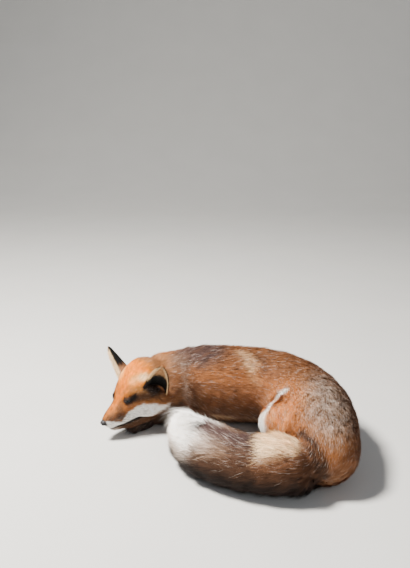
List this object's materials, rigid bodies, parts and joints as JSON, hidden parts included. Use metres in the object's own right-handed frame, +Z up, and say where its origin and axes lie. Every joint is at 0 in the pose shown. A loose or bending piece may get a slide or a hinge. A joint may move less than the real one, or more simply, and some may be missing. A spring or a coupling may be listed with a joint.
{
  "type": "taxidermy red fox",
  "caption": "Life-size mounted red fox lying curled up asleep, chin on its foreleg and thick brush brought round in front.",
  "frame": {"origin": "on the floor, at the middle of the bounding box", "axes": "+Z up, +Y towards the back, -X towards the head and +X towards the rump"},
  "size_m": [0.493, 0.4126, 0.1658],
  "materials": {
    "coat": "dense guard hair over wool, orange brown with a grizzled rump",
    "face_coat": "short smooth hair, pale orange",
    "throat_coat": "short hair, dirty white",
    "stocking": "short hair, dark brown",
    "brush": "long loose hair, grey brown and orange brown",
    "brush_tip": "long loose hair, off-white",
    "ear_coat": "short velvety hair, black behind and cream at the rim",
    "nose_leather": "pebbled black skin, slightly moist sheen",
    "glass_eye": "polished dark brown",
    "claw": "dark horn, worn",
    "whisker": "stiff dark hair"
  },
  "bodies": {
    "root": {"eye_left": "glass_eye", "eye_right": "glass_eye", "nose_pad": "nose_leather", "ear_left": "ear_coat", "ear_right": "ear_coat", "head": "face_coat", "lower_jaw": "throat_coat", "forepaw_left": "stocking", "foreleg_left": "stocking", "forepaw_right": "stocking", "foreleg_right": "stocking", "tail_tip": "brush_tip", "tail_middle": "brush", "tail_root": "brush", "hindfoot_left": "stocking", "shank_left": "coat", "thigh_left": "coat", "hindfoot_right": "stocking", "thigh_right": "coat", "neck": "coat", "chest": "coat", "loins": "coat", "rump": "coat"}
  },
  "joints": []
}
